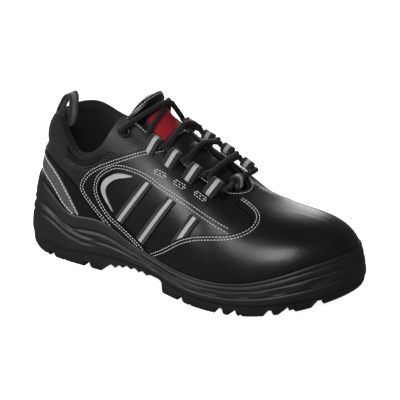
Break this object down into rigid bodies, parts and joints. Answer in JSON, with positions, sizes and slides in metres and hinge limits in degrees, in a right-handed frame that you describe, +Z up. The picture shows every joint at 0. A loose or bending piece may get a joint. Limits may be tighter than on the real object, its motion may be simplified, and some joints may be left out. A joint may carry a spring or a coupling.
{
  "type": "safety sneaker",
  "caption": "Low lace-up safety sneaker, right shoe, with padded collar, black leather overlays, webbing lace loops, heel mesh band and a treaded cup sole.",
  "frame": {"origin": "on the floor under the heel, in the middle of the flat tread there", "axes": "+X to the toe, +Y to the inner side of the foot, +Z up from the floor"},
  "size_m": [0.3042, 0.1164, 0.1526],
  "materials": {
    "sole rubber": "matte",
    "sole side": "matte",
    "insole fabric": "matte",
    "collar textile": "matte",
    "black leather": "smooth",
    "grey mesh": "woven",
    "webbing": "woven",
    "reflective tape": "beaded",
    "lace": "woven",
    "red woven label": "woven",
    "eyelet": "satin"
  },
  "bodies": {
    "root": {"outsole": "sole rubber", "midsole": "sole side", "insole": "insole fabric", "upper": "collar textile", "tongue": "collar textile", "vamp_overlay": "black leather", "quarter_overlay": "black leather", "eyelet_tab_lateral": "black leather", "eyelet_tab_medial": "black leather", "heel_counter": "black leather", "heel_band": "grey mesh", "stripe_lateral_1": "webbing", "stripe_lateral_2": "webbing", "stripe_lateral_3": "webbing", "reflector_lateral": "reflective tape", "eyelet_lateral": "eyelet", "lace_loop_lateral_1": "webbing", "lace_loop_lateral_2": "webbing", "lace_loop_lateral_3": "webbing", "lace_loop_lateral_4": "webbing", "stripe_medial_1": "webbing", "stripe_medial_2": "webbing", "stripe_medial_3": "webbing", "reflector_medial": "reflective tape", "eyelet_medial": "eyelet", "lace_loop_medial_1": "webbing", "lace_loop_medial_2": "webbing", "lace_loop_medial_3": "webbing", "lace_loop_medial_4": "webbing", "lace_keeper": "webbing", "label_patch": "red woven label", "lace": "lace", "pull_loop": "webbing"}
  },
  "joints": []
}
